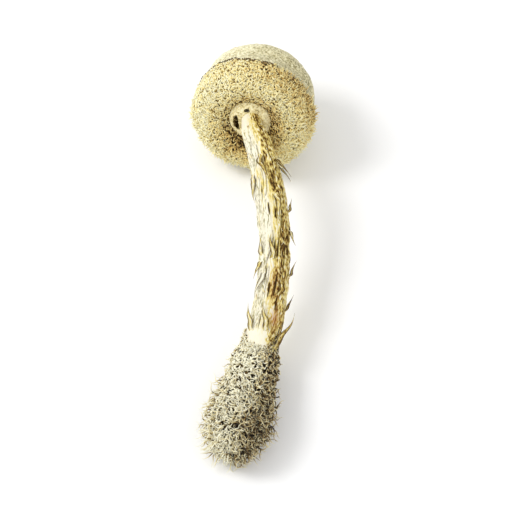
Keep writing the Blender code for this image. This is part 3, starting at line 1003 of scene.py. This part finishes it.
def plate_marks(rng, count, distance, angle, radius):
    """Height of lance-shaped plates, pressed to the stem at the root and raised at the point, and painted
    shadow beside one edge of each.

    Half the width goes as the root of the share of the length, times the rest to the power 0.7.
    """
    plate = np.zeros(distance.shape)
    hollow_shade = np.zeros(distance.shape)
    plates = zip(*(rng.uniform(*ends, count) for ends in PLATE_RANGES))
    for start, middle, length, width, height, way in plates:
        share = (distance / MM - start) / length
        share = np.where(way < 0.3, 1.0 - share, share)
        within = np.clip(share, 0.0, 1.0)
        half = 0.5 * width * 1.75 * np.sqrt(within) * (1.0 - within) ** 0.7
        gap = angle_gap(angle, middle) * radius / MM
        edge = ease(half - np.abs(gap), 0.0, 0.22) * (half > 0.0)
        plate = np.maximum(plate, edge * height * (0.25 + 0.75 * within))
        beside = np.abs(np.abs(gap) - half - 0.16) < 0.16
        shadowed = (within > 0.3) * (within < 0.97) * (gap * (way - 0.5) < 0.0)
        hollow_shade = np.maximum(hollow_shade, 0.5 * beside * shadowed)
    return plate, hollow_shade


def slit_marks(rng, distance, angle, shift, radius):
    """Depth of lens-shaped slits, each rounded across, and the brown border round them. The depth also sets
    their dark colour, painted shade in the slits.
    """
    hollow_shade = np.zeros(distance.shape)
    halo = np.zeros(distance.shape)
    scattered = zip(*(rng.uniform(*ends, SCATTERED_SLITS) for ends in SLIT_RANGES))
    for place, middle, length, width in (*KEPT_SLITS, *scattered):
        share = (distance / MM - place) / (0.5 * length)
        gap = angle_gap(angle, middle * DEG + shift) * radius / MM
        half = 0.5 * width * np.clip(1.0 - share ** 2, 0.0, 1.0) ** 0.8
        depth = np.clip(1.0 - (gap / np.maximum(half, 0.01)) ** 2, 0.0, 1.0) * (half > 0.02)
        hollow_shade = np.maximum(hollow_shade, np.minimum(1.0, 1.6 * depth) * ease(1.0 - np.abs(share), 0.0, 0.25))
        border = np.clip(1.0 - (gap / (half + 0.55)) ** 2, 0.0, 1.0)
        halo = np.maximum(halo, border * ease(1.15 - np.abs(share), 0.0, 0.4))
    return hollow_shade, halo


def stem_marks(distance, angle, settings):
    """Rise, hollows with their painted shade, brown with painted shade, and fibre of the stem at each place.

    Plates stand up towards their points and slits are dips with brown borders. Fibres are noise stretched
    along the stem, taken as sharp ridges. All wander sideways with a broad noise.
    """
    rng = np.random.default_rng(51)
    around = angle / TURN
    along = (distance - STEM_START) / STEM_SPAN
    radius = STEM.at(distance)[1]
    broad = 1.0 - np.abs(soft_noise(52, around, along, 30, 9))
    fine = 1.0 - np.abs(soft_noise(53, around, along, 84, 17))
    wander = 0.22 * soft_noise(54, around, along, 5, 9)
    clear = ease(distance, 2 * MM, 9 * MM) * (1.0 - ease(distance, 98 * MM, 107 * MM))
    rise = clear * (0.34 * broad ** 3 + 0.16 * fine ** 2) * MM
    rise = rise + 0.3 * MM * soft_noise(55, around, along, 6, 14)
    plate, edges = plate_marks(rng, settings.plate_count, distance, angle + wander, radius)
    slits, halo = slit_marks(rng, distance, angle + 0.5 * wander, 0.5 * wander.mean(), radius)
    hollow_shade = np.maximum(edges, slits)
    rise = rise + clear * plate * settings.plate_height - hollow_shade * clear * settings.slit_depth
    brown = brown_and_painted_shade(angle, distance) + 0.42 * soft_noise(56, around, along, 12, 16)
    brown = brown + 0.15 * plate + 0.4 * halo
    return rise, hollow_shade * clear, np.clip(brown, -0.3, 1.15), fine * clear


def rust_spots(angle, distance):
    """How red the stem is: one strong spot above the foot, and a faint long one at its middle."""
    near_foot = bell(angle_gap(angle, 57 * DEG), 0.3) * bell(distance - 97 * MM, 4 * MM)
    middle = bell(angle_gap(angle, 78 * DEG), 0.4) * bell(distance - 82 * MM, 7 * MM)
    return 0.62 * near_foot + 0.32 * middle


def grain_coordinates(angle, distance, radius, squeeze):
    """Coordinates in millimetres that wrap round a strand, with its length squeezed by a share."""
    sideways = np.cos(angle) * radius / MM
    upwards = np.sin(angle) * radius / MM
    return np.stack([sideways, upwards, squeeze * distance / MM], axis=-1)


def build_stem(settings, material):
    """Stem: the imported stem's own route and radius, raised and cut by its plates, slits and fibres."""
    distance, angle = full_turn(np.linspace(STEM_START, STEM.distance[-1], STEM_ROWS), STEM_COLUMNS)
    rise, hollow_shade, brown, fibre = stem_marks(distance, angle, settings)
    inside = 1.6 * MM * ease(distance, STEM.distance[-1] - 2 * MM, STEM.distance[-1])
    rings = STEM.place(distance, angle, rise - 0.1 * MM - inside)
    radius = STEM.at(distance)[1]
    values = {
        "shade": brown, "hollow_shade": hollow_shade, "fibre": fibre, "rust": rust_spots(angle, distance),
        "grain": grain_coordinates(angle, distance, radius, 0.1),
        "dash": grain_coordinates(angle, distance, radius, 0.4),
    }
    values = {key: on_band(value) for key, value in values.items()}
    band = closed_band(rings, STEM.points[0], STEM.points[-1])
    add_piece("stem_body", *band, material, "stem_fibre", ["stem"], values)


def stem_surface(angle, distance, rise):
    """The stem's plain round surface, with the distance from the collar in millimetres."""
    return STEM.place(distance * MM, angle, rise)


def build_fibres(settings, material):
    """Loose fibres of the stem: thin brown or pale threads that spring from it and lie mostly along it."""
    rng = np.random.default_rng(61)
    count = settings.fibre_count
    distance = rng.uniform(6, 101, count) * MM
    angle = rng.uniform(0.0, TURN, count)
    toward = np.where(rng.uniform(size=count) < 0.75, 0.0, math.pi) + rng.normal(0.0, 16.0, count) * DEG
    place = local_frame(stem_surface, angle, distance / MM, toward)
    length = rng.uniform(2.2, 5.6, count) * MM
    width = rng.uniform(0.22, 0.5, count) * MM
    lift = rng.uniform(8, 30, count) * DEG
    shade = rng.uniform(-0.3, 1.1, count)
    grow = partial(add_threads, rng=rng, material=material, slot="stem_fibre")
    grow("stem_fibres", place, length, width, lift, 1.0, shade, stations=8)


# ---------------- loose scales

PALE_SCALE = 11  # this one alone is as pale as the left side that it springs from
SCALE_SIDES = 14


def strip_route(name):
    """Centre line, half widths, sideways direction, and brown with painted shade, of a packed scale, from its
    root to its tip.

    Corners are ordered along their longest direction. The middle line is a cubic through their means, and the
    half width a cubic through their spread across it. The root is the end nearer the stem's surface or deeper
    in it.
    """
    corners = node_points(name)
    directions = np.linalg.eigh(np.cov((corners - corners.mean(axis=0)).T))[1]
    share = (corners - corners.mean(axis=0)) @ directions[:, 2]
    share = (share - share.min()) / (share.max() - share.min())
    depth = []
    for end in (corners[share < 0.12].mean(axis=0), corners[share > 0.88].mean(axis=0)):
        near = STEM.nearest(end)
        depth.append(np.linalg.norm(STEM.points[near] - end) - STEM.radii[near])
    if depth[0] > depth[1]:
        share = 1.0 - share
    bins = np.linspace(0.0, 1.0, 9)
    weight = bell(share[None] - bins[:, None], 0.09)
    centres = weight @ corners / weight.sum(axis=1, keepdims=True)
    spans = np.abs((corners[None] - centres[:, None]) @ directions[:, 1])
    halves = (weight * spans).sum(axis=1) / weight.sum(axis=1)
    steps = np.linspace(0.0, 1.0, 26)
    line = np.stack([np.polyval(np.polyfit(bins, centres[:, k], 3), steps) for k in range(3)], axis=-1)
    near = STEM.nearest(line[0])
    _, _, _, side, top = STEM.at(STEM.distance[near])
    offset = line[0] - STEM.points[near]
    brown = brown_and_painted_shade(math.atan2(offset @ top, offset @ side), STEM.distance[near])
    return line, np.polyval(np.polyfit(bins, halves, 3), steps), directions[:, 1], brown


def swaying_line(rng, line, sideways):
    """A strip's middle line swayed to one side and bowed outwards, with its side and up directions.

    The flat side turns towards level as it leaves the stem, and looks up where it is nearly level.
    """
    share = np.linspace(0.0, 1.0, len(line))[:, None]
    along = unit(np.gradient(line, axis=0))
    side = unit(sideways - (along @ sideways)[:, None] * along)
    near = STEM.points[STEM.nearest(line[0])]
    up = np.cross(along, side)
    up = up * np.sign((up[3] @ (line[3] - near)) or 1.0)
    long = np.linalg.norm(line[-1] - line[0])
    sway = rng.choice([-1.0, 1.0]) * rng.uniform(0.045, 0.075) * long
    line = line + side * (sway * np.sin(TURN * share ** 0.9) * ease(share, 0.0, 0.3))
    line = line + up * (rng.uniform(0.02, 0.06) * long * np.sin(math.pi * share ** 1.5))
    level = facing(unit(np.cross(along, [0.0, 0.0, 1.0])), side)
    side = unit(side + (level - side) * (rng.uniform(0.7, 0.95) * ease(share, 0.0, 0.4)))
    up = np.cross(along, side)
    if abs(up[-1, 2]) > 0.5:
        up = facing(up, [0.0, 0.0, 1.0])
    return line, side, up


def build_scale(index, name, material):
    """Loose scale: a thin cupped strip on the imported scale's own middle line, pointed at its tip.

    Its section is a flat oval of 14 points with five raised strands. The sides bow up by a third of the half
    width, and the edges wave by an eighth of it. The root is sunk into the stem.
    """
    rng = np.random.default_rng(600 + index)
    line, half, sideways, brown = strip_route(name)
    share = np.linspace(0.0, 1.0, len(line))[:, None]
    line, side, up = swaying_line(rng, line, sideways)
    turn = np.linspace(0.0, TURN, SCALE_SIDES, endpoint=False)[None, :]
    point = 1.2 * np.clip(1.0 - share, 0.0, 1.0) ** 0.9 * (0.75 + 0.25 * ease(share, 0.0, 0.3))
    wave = 1.0 + 0.12 * np.sin(TURN * (share * rng.uniform(1.5, 3.5) + rng.uniform())) * np.sign(np.cos(turn))
    width = np.clip(1.85 * half - 0.25 * MM, 0.4 * MM, 1.4 * MM)[:, None] * point * wave
    strand = 1.0 + 0.3 * np.sin(5.0 * turn + TURN * rng.uniform())
    x = np.cos(turn) * width
    z = np.sin(turn) * (0.28 * MM * (0.4 + 0.6 * np.minimum(point, 1.0))) * strand
    z = z + 0.33 * width * np.cos(turn) ** 2
    sunk = MM * (0.3 * (1.0 - ease(share, 0.3, 0.9)) - 1.5 * (1.0 - ease(share, -0.1, 0.3)))
    rings = line[:, None] + x[..., None] * side[:, None] + (z + sunk)[..., None] * up[:, None]
    band = closed_band(above_floor(rings[:-1]), line[0] + up[0] * sunk[0], line[-1])
    share, x, z = share[:-1], x[:-1], z[:-1]
    edge = np.abs(np.cos(turn)) + 0.0 * share
    tone = 0.05 if index == PALE_SCALE else 0.72
    distance = lengths_along(line)[1:, None] + 0.0 * turn
    narrow = 0.5 * (1.0 - ease(half.max(), 0.55 * MM, 0.85 * MM))
    grain = on_band(np.stack([x / MM * 1.6 + 7.0 * index, z / MM * 1.6, 0.12 * distance / MM], axis=-1))
    # dark edges are painted shadow along the curled edges, over most of a narrow strip; the shade grows
    # towards the edges and the tip and takes the stem's brown and painted shade
    hollow_shade = np.clip(0.95 * ease(edge, 0.35, 0.8) + narrow, 0.0, 0.95) * ease(share, 0.03, 0.15)
    shade = tone + 0.3 * edge ** 3 + 0.45 * share ** 2 + 0.35 * brown + rng.uniform(-0.15, 0.2)
    values = {
        "shade": on_band(shade), "hollow_shade": on_band(hollow_shade), "fibre": on_band(edge * 0.5),
        "grain": grain, "dash": grain * [1.0, 1.0, 3.3],
    }
    add_piece(f"loose_scale_{index:02d}", *band, material, "stem_scale", [name], values)


# ---------------- woolly foot

FOOT_CORE_ROWS = 96
FOOT_CORE_COLUMNS = 150
BULGE_SIDE = 92 * DEG


def foot_surface(angle, distance, rise):
    """Woolly foot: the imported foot's axis and outline, with lumps 5 mm across and 0.6 mm high.

    It is 1 mm thinner than the outline and ends 4 mm short of the tip, which leaves room for the wool. Here
    the distance from the foot's top is in millimetres. Its top edge wanders up and down by 2 mm, and lies 3
    mm lower in front of the bulge.
    """
    wander = 2.2 * ring_noise(71, angle, 9) + 3.0 * ease(np.cos(angle - BULGE_SIDE), 0.55, 0.95)
    wander = wander * np.exp(-np.maximum(distance, 0.0) / 6.0)
    along = np.clip(distance + wander, 0.02 * distance, FOOT_LENGTH)
    lump = 0.6 * MM * soft_noise(72, angle / TURN, along / 60.0, 14, 11)
    narrow = -1.0 * MM - 0.3 * MM * (1.0 - ease(along, 0.0, 6.0))
    shell = FOOT.place(along * MM, angle, lump + rise + narrow * (1.0 - ease(along, 50.0, 54.5)))
    back = 4.0 * MM * ease(along, 20.0, FOOT_LENGTH)
    return shell - FOOT.along[0] * back[..., None]


def foot_shade(angle, distance):
    """How dark the foot's wool is: most on its right, painted shade on the side away from the light, and in a
    brown patch above the tip; less on its left and top edge.
    """
    patch = bell(angle_gap(angle, 75 * DEG), 0.55) * bell(distance - 41.0, 6.0)
    sides = 2.1 * ease(np.cos(angle - 5 * DEG), 0.0, 0.9) + 0.5 * ease(-np.cos(angle), 0.5, 1.0)
    return sides + 0.25 * (1.0 - ease(distance, 0.0, 4.0)) + patch


def build_foot_core(material):
    """Body under the tufts: the foot's surface sunk by 0.8 mm, closed at the far tip and inside the top, dark
    as painted shade between the tufts.
    """
    steps = FOOT_LENGTH * np.linspace(0.0, 1.0, FOOT_CORE_ROWS) ** 0.9
    steps[-1] = FOOT_LENGTH * 0.996
    distance, angle = full_turn(steps, FOOT_CORE_COLUMNS)
    rings = above_floor(foot_surface(angle, distance, -0.8 * MM))
    band = closed_band(rings, FOOT.points[0], rings[-1].mean(axis=0) + FOOT.along[0] * 0.2 * MM)
    tint = on_band(0.4 + 0.4 * soft_noise(73, angle / TURN, distance / FOOT_LENGTH, 70, 60))
    shade = on_band(foot_shade(angle, distance) + 0.25)
    values = {"tip": np.full(len(tint), 0.1), "tint": tint, "shade": shade}
    add_piece("foot_core", *band, material, "grey_wool", ["woolly_foot"], values)


def foot_roots(rng, count):
    """Places on the foot, as dense on its rounded end as along it, clear of the floor.

    They stand on a spiral that turns by the golden section from one to the next, and stray by 0.7 mm.
    """
    steps = np.linspace(0.1, FOOT_LENGTH - 0.1, 400)
    girth = np.interp(steps * MM, FOOT.distance, FOOT.radii) + 2 * MM + 14 * MM * ease(steps, 46.0, 53.0)
    area = np.cumsum(girth)
    turns = np.arange(count)
    distance = np.interp(area[-1] * (turns + 0.5) / count, area, steps) + rng.normal(0.0, 0.7, count)
    distance = np.clip(distance, steps[0], steps[-1])
    angle = (TURN * 0.618034 * turns + rng.normal(0.0, 0.06, count)) % TURN
    clear = foot_surface(angle, distance, 0.0)[:, 2] > 0.8 * MM
    return angle[clear], distance[clear]


def build_tufts(rng, grow, name, root_count, settings, thick, sides, stations):
    """Curly tufts that splay and lengthen towards the tip, with `thick` times the set width."""
    angle, distance = foot_roots(rng, root_count)
    count = len(angle)
    late = ease(distance, 18.0, 50.0)
    length = settings.tuft_length * rng.uniform(0.65, 1.3, count) * (1.0 + 0.38 * late)
    width = settings.tuft_width * thick * rng.uniform(0.7, 1.2, count) * (1.0 - 0.25 * late)
    lift = (rng.uniform(15, 58, count) + 12.0 * late) * DEG
    place = local_frame(foot_surface, angle, distance, rng.normal(0.0, 100.0, count) * DEG)
    shade = foot_shade(angle, distance)
    grow(name, place, length, width, lift, 5.2, shade, sides=sides, stations=stations, sink=0.7, blunt=3.0)


def build_foot_bristles(rng, grow, settings):
    """Long thin bristles that stand out all round the foot, fewer and shorter near its top."""
    angle, distance = foot_roots(rng, settings.bristle_count)
    keep = rng.uniform(0.0, 1.0, len(angle)) < 0.35 + 0.65 * ease(distance, 4.0, 26.0)
    angle, distance = angle[keep], distance[keep]
    count = len(angle)
    length = (5.2 + 5.0 * ease(distance, 8.0, 32.0)) * rng.uniform(0.55, 1.15, count) * MM
    place = local_frame(foot_surface, angle, distance, rng.normal(0.0, 55.0, count) * DEG)
    width = rng.uniform(0.4, 0.62, count) * MM
    lift = rng.uniform(35, 78, count) * DEG
    shade = 0.7 * foot_shade(angle, distance) + 0.1
    grow(
        "foot_bristles", place, length, width, lift, 3.4, shade,
        stations=11, sink=0.5, droop=0.1, blunt=3.0, bright=0.72,
    )


def build_creeping_tufts(rng, grow, settings):
    """Small tufts that creep up the stem in uneven tongues, highest on its left and lowest over the bulge."""
    count = settings.creeping_count
    angle = rng.uniform(0.0, TURN, count)
    bare = ease(np.cos(angle - BULGE_SIDE), 0.45, 0.9)
    left = ease(np.cos(angle - 168 * DEG), 0.2, 0.9)
    tongue = (7.0 + 4.5 * ring_noise(76, angle, 11) + 5.0 * left) * (1.0 - 0.6 * bare)
    spot = STEM.distance[-1] / MM - 1.5 + 1.2 * bare - tongue * rng.uniform(0.0, 1.0, count) ** 1.5
    place = local_frame(stem_surface, angle, spot, rng.normal(0.0, 80.0, count) * DEG)
    length = rng.uniform(1.3, 2.6, count) * (1.0 + 0.7 * left) * MM
    width = rng.uniform(0.3, 0.62, count) * MM
    lift = (rng.uniform(15, 60, count) + 12.0 * left) * DEG
    shade = foot_shade(angle, 0.0 * angle)
    grow("foot_creeping_tufts", place, length, width, lift, 3.0, shade, stations=7, sink=0.2)


# ---------------- operators


def head_wool(settings):
    """The roll's wool: ochre threads, paler to their tips and dark in the gaps, as painted shade. Its pieces
    share it.
    """
    colours = (settings.wool_gap_shade, settings.wool_low, settings.wool_pale, settings.wool_tip)
    return wool_material("ochre_fungus_wool", *colours, 0.82, -0.08)


def stalk_fibre(settings):
    """The stalk's fibre: pale dry strands with brown bruises. The stem and its scales share it."""
    colours = (settings.pale, settings.ochre, settings.brown, settings.slit, settings.rust, settings.speck)
    return fibre_material("split_stalk_fibre", *colours)


class TOADSTOOL_OT_cap_skin(bpy.types.Operator):
    """Build the smooth skin of the cap"""

    bl_idname = "toadstool.cap_skin"
    bl_label = "Cap skin"

    def execute(self, context):
        build_cap_skin(context.scene.toadstool_head)
        return {"FINISHED"}


class TOADSTOOL_OT_wool_roll(bpy.types.Operator):
    """Build the woolly roll: its core, threads, bristles and the dark dashes of painted shadow under the
    skin's rim
    """

    bl_idname = "toadstool.wool_roll"
    bl_label = "Woolly roll"

    def execute(self, context):
        settings = context.scene.toadstool_head
        material = head_wool(settings)
        rng = np.random.default_rng(31)
        grow = partial(add_threads, rng=rng, material=material, slot="ochre_wool")
        build_wool_core(material)
        build_wool_threads(rng, grow, settings)
        build_wool_bristles(rng, grow, settings)
        build_rim_shadow_dashes(rng, grow)
        return {"FINISHED"}


class TOADSTOOL_OT_collar(bpy.types.Operator):
    """Build the collar with its holes and torn teeth"""

    bl_idname = "toadstool.collar"
    bl_label = "Collar"

    def execute(self, context):
        settings = context.scene.toadstool_head
        colours = (settings.collar_pale, settings.collar_shade, settings.collar_dark)
        build_collar(skin_material("torn_collar_skin", *colours))
        build_collar_teeth(head_wool(settings))
        return {"FINISHED"}


class TOADSTOOL_OT_stem(bpy.types.Operator):
    """Build the stem with its plates, slits and loose fibres"""

    bl_idname = "toadstool.stem"
    bl_label = "Stem"

    def execute(self, context):
        settings = context.scene.toadstool_stem
        build_stem(settings, stalk_fibre(settings))
        build_fibres(settings, head_wool(context.scene.toadstool_head))
        return {"FINISHED"}


class TOADSTOOL_OT_scales(bpy.types.Operator):
    """Build the loose scales that stand off the stem"""

    bl_idname = "toadstool.scales"
    bl_label = "Loose scales"

    def execute(self, context):
        material = stalk_fibre(context.scene.toadstool_stem)
        for index, name in enumerate(SCALE_NODES, start=1):
            build_scale(index, name, material)
        return {"FINISHED"}


class TOADSTOOL_OT_foot(bpy.types.Operator):
    """Build the woolly foot: its core, tufts, finer threads, bristles and creeping tufts"""

    bl_idname = "toadstool.foot"
    bl_label = "Woolly foot"

    def execute(self, context):
        settings = context.scene.toadstool_foot
        colours = (settings.gap, settings.low, settings.pale, settings.tip)
        # grey wool with a wide span from dark roots to pale tips, painted shade between the tufts, so each
        # tuft stands out from the dark between
        material = wool_material("grey_fungus_wool", *colours, 2.0, -0.3)
        rng = np.random.default_rng(75)
        grow = partial(add_threads, rng=rng, material=material, slot="grey_wool")
        build_foot_core(material)
        build_tufts(rng, grow, "foot_tufts", settings.tuft_count, settings, 1.0, 4, 10)
        build_tufts(rng, grow, "foot_threads", settings.thread_count, settings, 0.5, 3, 8)
        build_foot_bristles(rng, grow, settings)
        build_creeping_tufts(rng, grow, settings)
        return {"FINISHED"}


FLOOR_HALF = 8.0
MIDDLE = (0.0007, 0.0, 0.020)
KEY_PLACE = (-0.75, 0.12, 0.95)
FILL_PLACE = (0.8, -0.5, 0.7)


def add_aimed(name, data, place):
    """Adds a light or camera at a place, with its -Z axis towards the toadstool's middle."""
    item = bpy.data.objects.new(name, data)
    bpy.context.scene.collection.objects.link(item)
    item.location = place
    item.rotation_euler = (Vector(MIDDLE) - Vector(place)).to_track_quat("-Z", "Y").to_euler()
    return item


def add_soft_light(name, place, size, power):
    """A square soft light."""
    light = bpy.data.lights.new(name, "AREA")
    light.size = size
    light.energy = power
    add_aimed(name, light, place)


class TOADSTOOL_OT_stage(bpy.types.Operator):
    """Build the floor, the light and the camera"""

    bl_idname = "toadstool.stage"
    bl_label = "Stage"

    def execute(self, context):
        scene = context.scene
        settings = scene.toadstool_stage
        mesh = bpy.data.meshes.new("floor")
        corners = [(x * FLOOR_HALF, y * FLOOR_HALF, 0.0) for x, y in ((-1, -1), (1, -1), (1, 1), (-1, 1))]
        mesh.from_pydata(corners, [], [(0, 1, 2, 3)])
        floor = bpy.data.objects.new("floor", mesh)
        scene.collection.objects.link(floor)
        # plain matt paper, so the shadows stay soft and nothing shines beside the toadstool
        paper, tree = new_tree("plain_paper")
        output_surface(tree, {"Base Color": (*settings.floor, 1.0), "Roughness": 0.9})
        mesh.materials.append(paper)
        world = bpy.data.worlds.new("even_sky")
        world.use_nodes = True
        sky = world.node_tree.nodes["Background"].inputs
        sky["Color"].default_value = (1.0, 1.0, 1.0, 1.0)
        sky["Strength"].default_value = settings.sky_strength
        scene.world = world
        add_soft_light("key_light", KEY_PLACE, 0.45, settings.key_power)
        add_soft_light("fill_light", FILL_PLACE, 0.9, settings.fill_power)
        camera = bpy.data.cameras.new("camera")
        camera.lens = settings.lens
        camera.clip_start = 0.05
        camera.dof.use_dof = False
        distance = settings.field * settings.lens / camera.sensor_width
        back = distance * math.cos(settings.elevation)
        above = distance * math.sin(settings.elevation)
        scene.camera = add_aimed("camera", camera, (MIDDLE[0], MIDDLE[1] - back, MIDDLE[2] + above))
        scene.view_settings.view_transform = "Standard"
        return {"FINISHED"}


OPERATORS = (
    TOADSTOOL_OT_cap_skin, TOADSTOOL_OT_wool_roll, TOADSTOOL_OT_collar, TOADSTOOL_OT_stem,
    TOADSTOOL_OT_scales, TOADSTOOL_OT_foot, TOADSTOOL_OT_stage,
)
SETTINGS = {
    "toadstool_head": HeadSettings, "toadstool_stem": StemSettings, "toadstool_foot": FootSettings,
    "toadstool_stage": StageSettings,
}


class TOADSTOOL_PT_panel(bpy.types.Panel):
    """Sizes, colours and pieces of the toadstool"""

    bl_idname = "TOADSTOOL_PT_panel"
    bl_label = "Toadstool"
    bl_space_type = "VIEW_3D"
    bl_region_type = "UI"
    bl_category = "Toadstool"

    def draw(self, context):
        for key, group in SETTINGS.items():
            box = self.layout.box()
            for name in group.__annotations__:
                box.prop(getattr(context.scene, key), name)
        for operator in OPERATORS:
            self.layout.operator(operator.bl_idname)


def register():
    """Registers the settings, the operators and the panel."""
    for group in (*SETTINGS.values(), *OPERATORS, TOADSTOOL_PT_panel):
        bpy.utils.register_class(group)
    for key, group in SETTINGS.items():
        setattr(bpy.types.Scene, key, PointerProperty(type=group))


def unregister():
    """Takes away what register added."""
    for key in SETTINGS:
        delattr(bpy.types.Scene, key)
    for group in reversed((*SETTINGS.values(), *OPERATORS, TOADSTOOL_PT_panel)):
        bpy.utils.unregister_class(group)


def main():
    """Builds every piece and the stage."""
    register()
    for operator in OPERATORS:
        group, name = operator.bl_idname.split(".")
        getattr(getattr(bpy.ops, group), name)()


if __name__ == "__main__":
    main()
